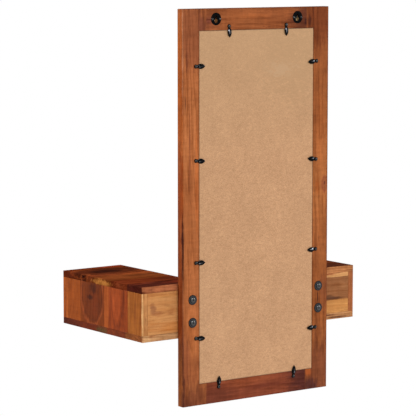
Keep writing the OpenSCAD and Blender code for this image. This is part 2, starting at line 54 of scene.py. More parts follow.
class Finish:
    """A material in the making: each method adds one step and gives back what leaves it."""

    def __init__(self, name):
        self.material = bpy.data.materials.new(name)
        self.material.use_nodes = True
        self.tree = self.material.node_tree
        self.shader = self.tree.nodes["Principled BSDF"]
        self.place = self.tree.nodes.new("ShaderNodeTexCoord").outputs["Object"]

    def step(self, kind, inputs, **settings):
        node = self.tree.nodes.new(kind)
        for key, value in settings.items():
            setattr(node, key, value)
        for key, value in inputs.items():
            self.feed(node.inputs[key], value)
        return node

    def feed(self, socket, value):
        if isinstance(value, bpy.types.NodeSocket):
            self.tree.links.new(value, socket)
        else:
            socket.default_value = value

    def drawn(self, size, shift=(0, 0, 0), turn=(0, 0, 0)):
        """The place, measured in sizes along X, Y and Z, so that a pattern comes out stretched."""
        inputs = {"Vector": self.place, "Scale": [1 / s for s in size], "Location": shift, "Rotation": turn}
        return self.step("ShaderNodeMapping", inputs).outputs["Vector"]

    def cloud(self, vector, detail=3.0, rough=0.55, twist=0.0):
        inputs = {"Vector": vector, "Scale": 1.0, "Detail": detail, "Roughness": rough, "Distortion": twist}
        return self.step("ShaderNodeTexNoise", inputs).outputs["Fac"]

    def reckon(self, sort, first, second=0.0):
        return self.step("ShaderNodeMath", {0: first, 1: second}, operation=sort).outputs["Value"]

    def range(self, value, low, high, to_low=0.0, to_high=1.0, soft=False):
        """Turns a value that runs from low to high into one from to_low to to_high."""
        inputs = {"Value": value, "From Min": low, "From Max": high, "To Min": to_low, "To Max": to_high}
        sort = "SMOOTHSTEP" if soft else "LINEAR"
        return self.step("ShaderNodeMapRange", inputs, interpolation_type=sort).outputs["Result"]

    def tones(self, value, stops, sort="LINEAR"):
        node = self.step("ShaderNodeValToRGB", {"Fac": value})
        ramp = node.color_ramp
        ramp.interpolation = sort
        while len(ramp.elements) < len(stops):
            ramp.elements.new(1.0)
        while len(ramp.elements) > len(stops):
            ramp.elements.remove(ramp.elements[-1])
        for element, (at, colour) in zip(ramp.elements, stops):
            element.position = at
            element.color = colour
        return node.outputs["Color"]

    def blend(self, amount, under, over, sort="MIX"):
        node = self.step("ShaderNodeMix", {0: amount, 6: under, 7: over}, data_type="RGBA", blend_type=sort)
        return node.outputs[2]

    def shaded(self, colour, value, stops, amount=1.0):
        """A colour darkened and lightened by a pattern."""
        return self.blend(amount, colour, self.tones(value, stops), "MULTIPLY")

    def out_from(self, centre, reach):
        """How far a place lies from a centre, measured in reaches along X, Y and Z."""
        away = self.step("ShaderNodeVectorMath", {0: self.place, 1: centre}, operation="SUBTRACT").outputs[0]
        away = self.step("ShaderNodeVectorMath", {0: away, 1: reach}, operation="DIVIDE").outputs[0]
        return self.step("ShaderNodeVectorMath", {0: away}, operation="LENGTH").outputs["Value"]

    def spot(self, under, centre, reach, colour, strength, ragged):
        """A soft patch of colour at a place, with a torn edge."""
        gone, full = 1.1, 0.35
        away = self.reckon("ADD", self.out_from(centre, reach), ragged)
        return self.blend(self.range(away, gone, full, 0.0, strength, soft=True), under, stain(*colour))

    def hoop(self, under, centre, reach, colour, strength, width, ragged):
        """A growth ring that the saw has laid open: a line round a place, a little unsteady."""
        away = self.reckon("ADD", self.out_from(centre, reach), self.reckon("MULTIPLY", ragged, 0.3))
        off = self.reckon("ABSOLUTE", self.reckon("SUBTRACT", away, 1.0))
        return self.blend(self.range(off, width, 0.0, 0.0, strength, soft=True), under, stain(*colour))

    def lay_on(self, colour, roughness, height, lift, metallic=0.0, specular=0.5):
        """Brings colour, roughness and relief to the surface. The relief is lift high, in metres."""
        shader = self.shader.inputs
        self.feed(shader["Base Color"], colour)
        self.feed(shader["Roughness"], roughness)
        shader["Metallic"].default_value = metallic
        shader["Specular IOR Level"].default_value = specular
        bump = self.step("ShaderNodeBump", {"Height": height, "Distance": lift, "Strength": 1.0})
        self.feed(shader["Normal"], bump.outputs["Normal"])
        return self.material


def timber(name, along, staves, across="Y", marks=(), hoops=(), heart=(0.05, 0.04), tilt=0.35, ring=0.007,
           figure=1.0, seed=1.0, matt=0.55, gloss=0.04):
    """Lacquered wood with its grain along one axis, of staves, each (place across, colour) up to the next.

    A mark is (centre, reach, colour, strength) and a hoop has its line's width as well. Places are in
    metres and colours as on a finisher's chart. Ring is how far apart the growth rings lie, about a heart
    beside the board, figure how strongly the grain shows, and matt how dull the lacquer is, 0 to 1.
    """
    wood = Finish(name)
    index = "XYZ".index(along)

    def grain(fine, long, shift=0.0):
        size = [fine, fine, fine]
        size[index] = long
        return wood.drawn(size, (seed * 7.31 + shift, seed * 3.17 - shift, seed * 5.73))

    # Staves, side by side, with a thin dark glue line between them
    part = wood.step("ShaderNodeSeparateXYZ", {0: wood.place}).outputs["XYZ".index(across)]
    low, high = staves[0][0], staves[-1][0] + 0.2
    stops = [((at - low) / (high - low), stain(*tone)) for at, tone in staves]
    colour = wood.tones(wood.range(part, low, high), stops, "CONSTANT")
    # Named marks of this board, with edges torn along the grain
    torn = wood.cloud(grain(0.006, 0.035, 12.0), 3.0)
    torn = wood.reckon("MULTIPLY", wood.reckon("SUBTRACT", torn, 0.5), 1.3)
    for centre, reach, tone, strength in marks:
        colour = wood.spot(colour, centre, reach, tone, strength, torn)
    for centre, reach, tone, strength, width in hoops:
        colour = wood.hoop(colour, centre, reach, tone, strength, width, torn)
    # Blotches of darker heartwood and lighter sapwood, and a faint ripple across the grain
    blotch = wood.cloud(grain(0.02, 0.07), 4.0, 0.6, 0.4)
    colour = wood.shaded(colour, blotch, [
        (0.3, shade_of(1 - 0.2 * figure, 0.12)), (0.5, shade_of(1.0)), (0.72, shade_of(1 + 0.18 * figure))])
    broad = wood.cloud(grain(0.07, 0.3, 5.0), 2.0)
    colour = wood.shaded(colour, broad, [
        (0.32, shade_of(1 - 0.16 * figure, 0.1)), (0.5, shade_of(1.0)), (0.7, shade_of(1 + 0.1 * figure))])
    ripple = wood.cloud(grain(0.05, 0.009, 8.0), 2.0)
    colour = wood.shaded(colour, ripple, [
        (0.35, shade_of(1 - 0.07 * figure)), (0.65, shade_of(1 + 0.07 * figure))])
    # Growth rings about a heart that lies beside the board and leans a little. They show in some places
    # only, as arches and flames, and are drawn out along the grain
    drawn_out, unscaled_ring = 7.0, 0.314
    size = [1.0, 1.0, 1.0]
    size[index] = drawn_out
    others = [n for n in range(3) if n != index]
    shift, turn = [0.0, 0.0, 0.0], [0.0, 0.0, 0.0]
    shift[others[0]], shift[others[1]] = heart
    turn[others[0]] = tilt
    rings = wood.step(
        "ShaderNodeTexWave",
        {"Vector": wood.drawn(size, shift, turn), "Scale": unscaled_ring / ring, "Distortion": 9.0,
         "Detail": 4.0, "Detail Scale": 0.5, "Detail Roughness": 0.6},
        wave_type="RINGS", rings_direction=along, wave_profile="SAW",
    ).outputs["Fac"]
    late = 0.26 * figure
    shown = wood.range(wood.cloud(grain(0.035, 0.16, 21.0), 2.0), 0.42, 0.62, 0.12, 1.0, soft=True)
    colour = wood.shaded(colour, rings, [
        (0.0, shade_of(1 + 0.35 * late)), (0.5, shade_of(1.0)), (0.88, shade_of(1 - late, 0.2)),
        (1.0, shade_of(1 - 0.4 * late, 0.08))], shown)
    # Fine streaks and fibres, drawn out along the grain
    streak = wood.cloud(grain(0.008, 0.15, 3.0), 5.0, 0.68, 0.3)
    colour = wood.shaded(colour, streak, [
        (0.3, shade_of(1 - 0.24 * figure, 0.16)), (0.5, shade_of(1.0)), (0.72, shade_of(1 + 0.12 * figure))])
    fibre = wood.cloud(grain(0.0011, 0.05, 6.0), 3.0, 0.6)
    colour = wood.shaded(colour, fibre, [(0.3, shade_of(0.86, 0.1)), (0.62, shade_of(1.05))])
    # Dark dashes, in clusters, and open pores, which hold the dark of the stain
    dashes = wood.range(wood.cloud(grain(0.0026, 0.03, 14.0), 2.0), 0.6, 0.68)
    clusters = wood.range(wood.cloud(grain(0.03, 0.16, 17.0), 1.0), 0.48, 0.62, 0.0, 0.5 * figure)
    colour = wood.blend(wood.reckon("MULTIPLY", dashes, clusters), colour, stain(78, 34, 24))
    open_pores = wood.range(wood.cloud(grain(0.0006, 0.012, 9.0), 2.0, 0.5), 0.64, 0.72)
    colour = wood.blend(wood.reckon("MULTIPLY", open_pores, 0.45), colour, stain(58, 24, 12))
    # Sawn ends drink more stain
    normal = wood.step("ShaderNodeNewGeometry", {}).outputs["Normal"]
    facing = wood.step("ShaderNodeSeparateXYZ", {0: normal}).outputs[index]
    ends = wood.range(wood.reckon("ABSOLUTE", facing), 0.6, 0.9)
    colour = wood.blend(ends, colour, wood.blend(1.0, colour, shade_of(0.72, 0.1), "MULTIPLY"))
    if len(staves) > 1:
        seam = None
        for at, _ in staves[1:]:
            gap = wood.reckon("ABSOLUTE", wood.reckon("SUBTRACT", part, at))
            seam = gap if seam is None else wood.reckon("MINIMUM", seam, gap)
        colour = wood.blend(wood.range(seam, 0.0006, 0.0001, 0.0, 0.6), colour, stain(52, 22, 12))
    raised, sunk = wood.reckon("MULTIPLY", fibre, 0.5), wood.reckon("MULTIPLY", open_pores, 0.5)
    height = wood.reckon("SUBTRACT", raised, sunk)
    height = wood.reckon("ADD", height, wood.reckon("MULTIPLY", rings, 0.12))
    roughness = wood.range(streak, 0.3, 0.7, matt - 0.06, matt + 0.08)
    return wood.lay_on(colour, roughness, height, 0.00035, specular=gloss)


def dress(node, material):
    """Gives a CAD node its finish."""
    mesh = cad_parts[node].data
    mesh.materials.clear()
    mesh.materials.append(material)


plum = (64, 30, 28)
ember = (176, 92, 40)
dress("right_stile", timber(
    "right_stile_wood", "Z", [(0.1, (170, 100, 57))], across="X", seed=1.0, heart=(-0.16, 0.03), ring=0.013,
    marks=[
        ((0.22, 0.0, -0.03), (0.09, 0.02, 0.13), (142, 80, 50), 0.85),
        ((0.22, 0.0, -0.32), (0.06, 0.02, 0.16), (186, 113, 66), 0.6),
        ((0.252, 0.0, -0.95), (0.02, 0.02, 0.12), (136, 74, 46), 0.75),
        ((0.22, 0.0, -1.07), (0.09, 0.02, 0.09), (122, 66, 42), 0.9),
        ((0.245, 0.0, -1.066), (0.03, 0.02, 0.025), (92, 48, 34), 0.5),
        ((0.215, 0.0, -0.965), (0.03, 0.02, 0.05), (142, 78, 46), 0.6),
        # The outer side face, orange at the top and darker red-brown lower down: partly the wood's own tone,
        # partly painted shade of light from above
        ((0.2565, -0.0125, -0.17), (0.0045, 0.05, 0.3), (172, 88, 32), 0.9),
        ((0.2565, -0.0125, -0.47), (0.0045, 0.05, 0.16), (150, 68, 24), 0.9),
        ((0.2565, -0.0125, -0.68), (0.0045, 0.05, 0.16), (132, 58, 22), 0.9),
        ((0.2565, -0.0125, -0.84), (0.0045, 0.05, 0.10), (146, 68, 30), 0.9),
        ((0.2565, -0.0125, -0.99), (0.0045, 0.05, 0.14), (136, 74, 32), 0.9),
        # Along the back arris of the outer edge: a painted highlight near the top and painted shade lower
        # down
        ((0.2538, -0.0012, -0.1), (0.002, 0.0035, 0.2), (206, 146, 112), 0.7),
        ((0.2565, -0.0260, -0.5), (0.0045, 0.0065, 1.2), (116, 60, 28), 0.7),
        ((0.2538, -0.0012, -0.63), (0.003, 0.0065, 0.125), (54, 24, 22), 0.9),
        ((0.2538, -0.0012, -0.79), (0.0024, 0.004, 0.13), (158, 98, 66), 0.7),
        ((0.2538, -0.0012, -0.95), (0.0024, 0.004, 0.16), (84, 44, 34), 0.75),
        ((0.2535, -0.0006, -1.045), (0.005, 0.009, 0.05), (78, 40, 32), 0.7),
        ((0.208, 0.0, -0.44), (0.006, 0.02, 0.2), (188, 102, 50), 0.6),
        ((0.231, 0.0, -0.35), (0.0022, 0.02, 0.15), (112, 52, 38), 0.7),
        ((0.246, 0.0, -0.225), (0.0022, 0.02, 0.035), plum, 0.75),
        ((0.240, 0.0, -0.11), (0.003, 0.02, 0.05), (120, 62, 46), 0.6),
        ((0.251, 0.0, -1.0), (0.0025, 0.02, 0.04), plum, 0.7),
        ((0.19, 0.0, -0.01), (0.018, 0.02, 0.03), (112, 60, 46), 0.6),
        ((0.225, 0.0, -0.86), (0.02, 0.02, 0.08), (182, 104, 56), 0.35),
        ((0.2375, 0.0, -0.937), (0.011, 0.02, 0.08), (134, 72, 44), 0.6),
        # Painted shade: a dark line down the inner edge beside the backing board's gap, and one along the
        # top arris
        ((0.1995, 0.0, -0.52), (0.0026, 0.02, 1.4), (96, 48, 30), 0.6),
        ((0.21, 0.0, 0.034), (0.14, 0.02, 0.0028), (90, 48, 30), 0.6),
    ]))
dress("left_stile", timber(
    "left_stile_wood", "Z", [(-0.4, (156, 90, 48))], across="X", seed=2.0, heart=(0.17, 0.04), ring=0.013,
    tilt=-0.3, hoops=[((-0.243, 0.0, -0.473), (0.009, 0.02, 0.020), (132, 62, 42), 0.5, 0.3)],
    marks=[
        ((-0.22, 0.0, 0.0), (0.08, 0.02, 0.12), (120, 60, 31), 0.9),
        ((-0.22, 0.0, -0.46), (0.06, 0.02, 0.16), (176, 108, 60), 0.6),
        ((-0.22, 0.0, -1.03), (0.08, 0.02, 0.15), (120, 65, 42), 0.8),
        ((-0.187, 0.0, -1.014), (0.014, 0.02, 0.016), (182, 96, 48), 0.9),
        ((-0.19, 0.0, -1.056), (0.04, 0.02, 0.028), (80, 44, 42), 0.85),
        ((-0.243, 0.0, -0.47), (0.004, 0.02, 0.007), plum, 0.85),
        ((-0.241, 0.0, -0.475), (0.012, 0.02, 0.03), (124, 62, 44), 0.5),
        ((-0.217, 0.0, -0.48), (0.009, 0.02, 0.03), ember, 0.6),
        ((-0.2205, 0.0, -0.797), (0.0022, 0.02, 0.02), (62, 28, 20), 0.95),
        ((-0.2545, 0.0, -0.5), (0.005, 0.02, 1.2), (108, 54, 30), 0.8),
        ((-0.24, 0.0, -0.78), (0.02, 0.02, 0.07), (120, 66, 44), 0.5),
        ((-0.186, 0.0, -0.005), (0.01, 0.02, 0.02), plum, 0.6),
        ((-0.225, 0.0, -0.33), (0.02, 0.02, 0.14), (178, 102, 54), 0.5),
        # Painted shade: a dark line down the inner edge beside the backing board's gap, and one along the
        # top arris
        ((-0.1995, 0.0, -0.52), (0.0022, 0.02, 1.4), (96, 48, 30), 0.5),
        ((-0.21, 0.0, 0.034), (0.14, 0.02, 0.0028), (80, 40, 28), 0.5),
    ]))


# Rails of the mirror frame
# Two boards between the stiles, held by stub tenons that are glued into mortises, with the grain across.
# The bottom rail was cut from a darker, redder board than the top one.

dress("top_rail", timber(
    "top_rail_wood", "X", [(-0.1, (156, 89, 50))], across="Z", seed=3.0, heart=(0.03, 0.12), ring=0.011,
    marks=[
        ((0.18, 0.0, 0.0), (0.05, 0.02, 0.05), (134, 74, 46), 0.7),
        ((-0.06, 0.0, 0.0), (0.08, 0.02, 0.06), (146, 80, 44), 0.6),
        ((-0.165, 0.0, 0.0), (0.06, 0.02, 0.06), (94, 48, 32), 0.9),
        ((0.166, 0.0, 0.0), (0.016, 0.02, 0.014), (112, 58, 46), 0.7),
        ((-0.172, 0.0, -0.006), (0.009, 0.02, 0.012), plum, 0.85),
        ((0.02, 0.0, 0.01), (0.07, 0.02, 0.008), (176, 98, 52), 0.5),
        # Painted shade along the top arris
        ((0.0, 0.0, 0.034), (0.6, 0.02, 0.0028), (88, 46, 28), 0.6),
        # Inside the keyhole pockets: pale raw wood brightened as painted light at the bottom, and painted
        # shade above it under the plate
        ((0.142, -0.011, 0.0), (0.016, 0.012, 0.013), (252, 208, 150), 0.98),
        ((-0.142, -0.011, 0.0), (0.016, 0.012, 0.013), (255, 236, 192), 0.98),
        ((0.142, -0.011, 0.014), (0.016, 0.014, 0.010), (50, 28, 20), 0.95),
        ((-0.142, -0.011, 0.014), (0.016, 0.014, 0.010), (64, 40, 26), 0.9),
    ]))
dress("bottom_rail", timber(
    "bottom_rail_wood", "X", [(-1.1, (128, 64, 42))], across="Z", seed=4.0, heart=(0.04, 1.14), ring=0.011,
    figure=0.8,
    marks=[
        ((0.15, 0.0, -1.05), (0.10, 0.02, 0.04), (108, 54, 38), 0.85),
        ((0.03, 0.0, -1.01), (0.11, 0.02, 0.03), (150, 78, 48), 0.75),
        ((-0.175, 0.0, -1.03), (0.08, 0.02, 0.08), (84, 42, 36), 0.95),
        ((-0.03, 0.0, -1.035), (0.09, 0.02, 0.008), (104, 46, 34), 0.5),
    ]))


# Mirror glass
# A pane of 4 mm float glass, silvered on its back. It lies in the rebate against the sight edge of the
# frame, and the backing board keeps it there.

silvering = Finish("silvered_glass")
smear = silvering.cloud(silvering.drawn((0.09, 0.09, 0.16)), 3.0)
specks = silvering.cloud(silvering.drawn((0.002, 0.002, 0.002)), 2.0)
silver = silvering.tones(smear, [(0.3, stain(228, 236, 234)), (0.7, stain(236, 241, 240))])
dress("mirror_glass", silvering.lay_on(
    silver, silvering.range(smear, 0.45, 0.75, 0.015, 0.05), specks, 0.000002, metallic=1.0))


# Backing board
# Light brown hardboard behind the glass, flush with the back of the frame and cut a little loose.
# Its pressed face shows fine pale and dark fibres.

# The board's edges, and how far in from them the painted edge shade begins and is full
BOARD_HALF = 0.1987
BOARD_TOP = -0.0263
BOARD_FOOT = -1.0057
RIM_FROM = 0.0025
RIM_TO = 0.0005

hardboard = Finish("hardboard_face")
fibres = hardboard.cloud(hardboard.drawn((0.003, 0.003, 0.0016)), 3.0, 0.7, 0.8)
clumps = hardboard.cloud(hardboard.drawn((0.011, 0.011, 0.0065), (4.2, 0, 0.6)), 2.0, 0.5, 0.8)
flakes = hardboard.cloud(hardboard.drawn((0.021, 0.021, 0.010), (3.1, 0, 1.7)), 4.0, 0.6, 1.2)
mottle = hardboard.cloud(hardboard.drawn((0.09, 0.09, 0.10), (5.0, 2.0, 0)), 4.0, 0.64)
shade = hardboard.tones(fibres, [
    (0.28, stain(162, 116, 78)), (0.5, stain(192, 147, 108)), (0.72, stain(214, 171, 132))])
shade = hardboard.shaded(shade, clumps, [(0.3, shade_of(0.92, 0.03)), (0.7, shade_of(1.08))])
shade = hardboard.shaded(shade, flakes, [
    (0.3, shade_of(0.94, 0.05)), (0.52, shade_of(1.0)), (0.72, shade_of(1.05))])
shade = hardboard.shaded(shade, mottle, [(0.3, shade_of(0.92, 0.03)), (0.7, shade_of(1.07))])
# A dull patch near the top, with a pale scuff in it
scuff = hardboard.reckon("MULTIPLY", hardboard.reckon("SUBTRACT", flakes, 0.5), 4.0)
shade = hardboard.spot(shade, (-0.12, 0.0, -0.13), (0.12, 0.02, 0.13), (176, 136, 97), 0.5, scuff)
shade = hardboard.spot(shade, (-0.088, 0.0, -0.139), (0.05, 0.02, 0.024), (204, 168, 134), 0.4, scuff)
# The whole board is a little duller towards the top
place = hardboard.step("ShaderNodeSeparateXYZ", {0: hardboard.place}).outputs
across, up_board = place["X"], place["Z"]
shade = hardboard.blend(hardboard.range(up_board, -0.4, -0.06, 0.0, 0.5), shade, stain(182, 146, 106))
# Painted shade along its sawn edges, where the rebate shades them
rim = hardboard.range(
    hardboard.reckon("ABSOLUTE", across), BOARD_HALF - RIM_FROM, BOARD_HALF - RIM_TO, 0.0, 0.35)
for edge, inwards in ((BOARD_TOP, -1), (BOARD_FOOT, 1)):
    near = hardboard.range(up_board, edge + inwards * RIM_FROM, edge + inwards * RIM_TO)
    rim = hardboard.reckon("MAXIMUM", rim, near)
shade = hardboard.blend(hardboard.reckon("MULTIPLY", rim, 0.6), shade, stain(92, 56, 34))
dress("backing_board", hardboard.lay_on(
    shade, hardboard.range(flakes, 0.3, 0.7, 0.62, 0.78), hardboard.reckon("ADD", fibres, flakes), 0.00012,
    specular=0.25))


# Turn buttons
# Twelve pressed steel leaves, crowned both ways, that hold the backing board. Each turns on a screw in its
# round eye, and is blackened and lacquered.

def clear_selection():
    if bpy.context.object and bpy.context.object.mode != "OBJECT":
        bpy.ops.object.mode_set(mode="OBJECT")
    bpy.ops.object.select_all(action="DESELECT")


def pick(test, sort="VERT"):
    """Selects, in edit mode, each vertex, or each edge by its middle, that passes the test."""
    bpy.ops.mesh.select_mode(type=sort)
    bpy.ops.mesh.select_all(action="DESELECT")
    bpy.ops.object.mode_set(mode="OBJECT")
    mesh = bpy.context.object.data
    if sort == "VERT":
        for v in mesh.vertices:
            v.select = test(v.co)
    else:
        for e in mesh.edges:
            e.select = test((mesh.vertices[e.vertices[0]].co + mesh.vertices[e.vertices[1]].co) / 2)
    bpy.ops.object.mode_set(mode="EDIT")


def shape_with(sort, **settings):
    """Adds a modifier to the active piece and applies it."""
    modifier = bpy.context.object.modifiers.new(sort.lower(), sort)
    for key, value in settings.items():
        setattr(modifier, key, value)
    bpy.ops.object.modifier_apply(modifier=modifier.name)


def own_copy(piece, name, matrix):
    """A copy of a modelled piece with a mesh of its own, laid in place in that mesh."""
    twin = bpy.data.objects.new(name, piece.data.copy())
    twin.data.transform(matrix)
    bpy.context.scene.collection.objects.link(twin)
    return twin


def on_back(x, z, turn=0.0):
    """Stands a piece on the back of the frame, its Z towards the wall and its X turned up by turn."""
    lay = Matrix.Rotation(math.radians(-90), 4, "X")
    return Matrix.Translation((x, 0, z)) @ Matrix.Rotation(math.radians(-turn), 4, "Y") @ lay


MM = 0.001
BUTTON_GAP = 0.3 * MM
BUTTON_THICK = 1.2 * MM
EYE_RADIUS = 5.5 * MM
EYE_HOLE = 1.98 * MM
EYE_SIDES = 32
NECK_FROM = 3.9 * MM
# Place from the screw, half width, and height of the sheet's upper face along the leaf, in mm
LEAF = [
    (6.4, 4.3, 1.5), (8.2, 5.35, 2.15), (10.2, 6.1, 2.75), (13.0, 6.75, 3.3), (16.0, 7.0, 3.55),
    (19.0, 6.75, 3.6), (22.0, 6.05, 3.4), (25.0, 4.8, 2.95), (27.8, 3.05, 2.3), (29.8, 1.3, 1.75),
    (30.9, 0.3, 1.45),
]
LEAF_HALF = 7.0
# How far the sheet's long edges lie below its middle line where the leaf is widest
CAMBER = 1.5 * MM

clear_selection()
top = BUTTON_GAP + BUTTON_THICK
bpy.ops.mesh.primitive_circle_add(vertices=EYE_SIDES, radius=EYE_RADIUS, location=(0, 0, top))
pressing = bpy.context.object
bpy.ops.object.transform_apply(location=True, rotation=True, scale=True)
bpy.ops.object.mode_set(mode="EDIT")
bpy.ops.mesh.select_all(action="SELECT")
# The eye is two rings of faces, from its rim inwards to its hole
reach = EYE_RADIUS
for ring in (EYE_RADIUS * 0.72, EYE_HOLE):
    middle = reach * math.cos(math.pi / EYE_SIDES)
    pick(lambda co, r=middle: abs(co.xy.length - r) < 0.05 * MM, "EDGE")
    bpy.ops.mesh.extrude_edges_move()
    bpy.ops.transform.resize(value=(ring / reach, ring / reach, 1), center_override=(0, 0, 0))
    reach = ring
# The side of the eye that faces the leaf is drawn out into the neck and the leaf
pick(lambda co: co.x > NECK_FROM and co.xy.length > EYE_RADIUS - 0.2 * MM, "EDGE")
for at, half, rise in LEAF:
    bpy.ops.mesh.extrude_edges_move()
    bpy.ops.object.mode_set(mode="OBJECT")
    row = sorted((v for v in pressing.data.vertices if v.select), key=lambda v: v.co.y)
    for n, v in enumerate(row):
        part = 2 * n / (len(row) - 1) - 1
        v.co.x = at * MM
        v.co.y = part * half * MM
        v.co.z = rise * MM + BUTTON_GAP - CAMBER * (part * half / LEAF_HALF) ** 2
    bpy.ops.object.mode_set(mode="EDIT")
bpy.ops.object.mode_set(mode="OBJECT")
shape_with("SUBSURF", levels=2, render_levels=2)
shape_with("SOLIDIFY", thickness=BUTTON_THICK, offset=-1.0)
shape_with("BEVEL", width=0.22 * MM, segments=2, limit_method="ANGLE", angle_limit=math.radians(50))
bpy.ops.object.shade_smooth_by_angle(angle=math.radians(40))

# A painted highlight on the crown of each leaf, made as lacquer worn through to bright bare metal: place
# from the screw and reach, both in mm, and how strong
GLINT_PATCHES = [((11.6, -1.9), (4.2, 2.6), 1.0), ((17.0, -0.8), (7.5, 1.9), 0.62)]
glint_paint = pressing.data.attributes.new("glint_paint", "FLOAT", "POINT")
for v in pressing.data.vertices:
    worn = [thin * max(0.0, 1 - ((v.co.x / MM - cx) / rx) ** 2 - ((v.co.y / MM - cy) / ry) ** 2)
            for (cx, cy), (rx, ry), thin in GLINT_PATCHES]
    glint_paint.data[v.index].value = max(worn)

lacquered = Finish("turn_button_black")
tooth = lacquered.cloud(lacquered.drawn((0.0009, 0.0009, 0.0009)), 3.0, 0.6)
scuffs = lacquered.cloud(lacquered.drawn((0.0016, 0.0016, 0.0016), (1.3, 4.1, 2.2)), 4.0, 0.65)
glint_mask = lacquered.step("ShaderNodeAttribute", {}, attribute_name="glint_paint").outputs["Fac"]
torn = lacquered.reckon("MULTIPLY", lacquered.reckon("SUBTRACT", scuffs, 0.5), 0.5)
bare = lacquered.range(lacquered.reckon("ADD", glint_mask, torn), 0.12, 0.85, 0.0, 0.85, soft=True)
bare = lacquered.reckon("MULTIPLY", bare, lacquered.range(glint_mask, 0.0, 0.06))
# Painted highlight: bright bare metal where the glint mask is strong
colour = lacquered.blend(bare, stain(3, 3, 4), stain(190, 190, 198))
pressing.data.materials.append(lacquered.lay_on(
    colour, lacquered.range(scuffs, 0.3, 0.75, 0.12, 0.3), tooth, 0.00003, specular=0.06))
lacquered.feed(lacquered.shader.inputs["Metallic"], bare)

# X and Z of the screw in mm, turn of the leaf from +X upwards in degrees, and how strong the leaf's painted
# highlight is
BUTTON_PLACES = {
    "right_button_1": (211, -876, 184, 0.45), "right_button_2": (211, -665, 181, 0.5),
    "right_button_3": (211, -382, 184, 0.35), "right_button_4": (211, -123, 180, 0.4),
    "left_button_1": (-211, -886, -1, 0.6), "left_button_2": (-211, -659, -2, 1.0),
    "left_button_3": (-211, -400, 6, 0.4), "left_button_4": (-211, -120, -4, 0.45),
    "top_button_right": (98, -15.5, -93, 0.8), "top_button_left": (-101, -15.5, -91, 0.8),
    "bottom_button_right": (133, -1020.5, 92, 0.5), "bottom_button_left": (-132, -1020.5, 94, 0.5),
}
for name, (x, z, turn, glint_strength) in BUTTON_PLACES.items():
    leaf = own_copy(pressing, name + "_leaf", on_back(x * MM, z * MM, turn))
    for point in leaf.data.attributes["glint_paint"].data:
        point.value *= glint_strength
    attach(leaf, name)
    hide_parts(name)
bpy.data.objects.remove(pressing)


# Screws of the turn buttons and of the hanger plates
# Blackened steel wood screws with a domed pan head and a cross recess. The head bears on the button's eye
# or on the plate, and the thread and point are in the wood.

def black_steel(name, base, matt, grain=0.0009, gloss=0.3):
    """Blackened steel, from polished at 0 to matt at 1, with specks worn to the bare metal."""
    steel = Finish(name)
    tooth = steel.cloud(steel.drawn((grain, grain, grain)), 3.0, 0.6)
    wear = steel.cloud(steel.drawn((0.006, 0.006, 0.006), (1.3, 4.1, 2.2)), 4.0, 0.65)
    colour = steel.tones(wear, [(0.35, base), (0.64, base), (0.8, stain(44, 42, 42))])
    roughness = steel.range(wear, 0.3, 0.75, matt - 0.05, matt + 0.15)
    return steel.lay_on(colour, roughness, tooth, 0.00003, specular=gloss)


def pan_screw(name, shank, length, head, head_height, seat):
    """One screw, its head standing on Z = seat and its point down."""
    clear_selection()
    bpy.ops.mesh.primitive_uv_sphere_add(segments=32, ring_count=16, radius=head / 2)
    screw = bpy.context.object
    screw.name = name
    # The dome is the upper five eighths of the head, over an upright rim
    rim_height = head_height * 0.375
    dome_height = head_height - rim_height
    bpy.ops.object.mode_set(mode="EDIT")
    bpy.ops.mesh.select_all(action="SELECT")
    bpy.ops.mesh.bisect(plane_co=(0, 0, 0), plane_no=(0, 0, 1), clear_inner=True)
    bpy.ops.mesh.select_all(action="SELECT")
    bpy.ops.transform.resize(value=(1, 1, 2 * dome_height / head), center_override=(0, 0, 0))
    bpy.ops.transform.translate(value=(0, 0, seat + rim_height))
    pick(lambda co: abs(co.z - seat - rim_height) < 1e-6, "EDGE")
    bpy.ops.mesh.extrude_edges_move()
    bpy.ops.transform.translate(value=(0, 0, -rim_height))
    # In to the shank, down it, and in to the point
    for ratio, drop in ((shank / head, 0.0), (1.0, -(length - shank + seat)), (0.12, -shank)):
        bpy.ops.mesh.extrude_edges_move()
        bpy.ops.transform.resize(value=(ratio, ratio, 1), center_override=(0, 0, 0))
        bpy.ops.transform.translate(value=(0, 0, drop))
    bpy.ops.mesh.edge_face_add()
    bpy.ops.mesh.select_all(action="SELECT")
    bpy.ops.mesh.normals_make_consistent(inside=False)
    bpy.ops.object.mode_set(mode="OBJECT")
    shape_with("BEVEL", width=head * 0.03, segments=2, limit_method="ANGLE", angle_limit=math.radians(60))
    # A driver's cross, a little wider than half the head, and narrower at the bottom than at the top
    cross_length, cross_width, blade_height = head * 0.56, head * 0.13, head_height * 1.1
    for turn in (0, 90):
        clear_selection()
        bpy.ops.mesh.primitive_cube_add(size=1, location=(0, 0, seat + head_height * 0.95))
        blade = bpy.context.object
        blade.scale = (cross_length, cross_width, blade_height)
        blade.rotation_euler[2] = math.radians(turn)
        bpy.ops.object.transform_apply(location=True, rotation=True, scale=True)
        bpy.ops.object.mode_set(mode="EDIT")
        pick(lambda co: co.z < seat + head_height * 0.6)
        bpy.ops.transform.resize(value=(0.6, 0.6, 1), center_override=(0, 0, 0))
        bpy.ops.object.mode_set(mode="OBJECT")
        clear_selection()
        bpy.context.view_layer.objects.active = screw
        screw.select_set(True)
        shape_with("BOOLEAN", operation="DIFFERENCE", object=blade, solver="EXACT")
        bpy.data.objects.remove(blade)
    bpy.ops.object.shade_smooth_by_angle(angle=math.radians(35))
    return screw


def joined(pieces, name):
    """Makes one piece of several."""
    clear_selection()
    for piece in pieces:
        piece.select_set(True)
    bpy.context.view_layer.objects.active = pieces[0]
    bpy.ops.object.join()
    pieces[0].name = name
    return pieces[0]


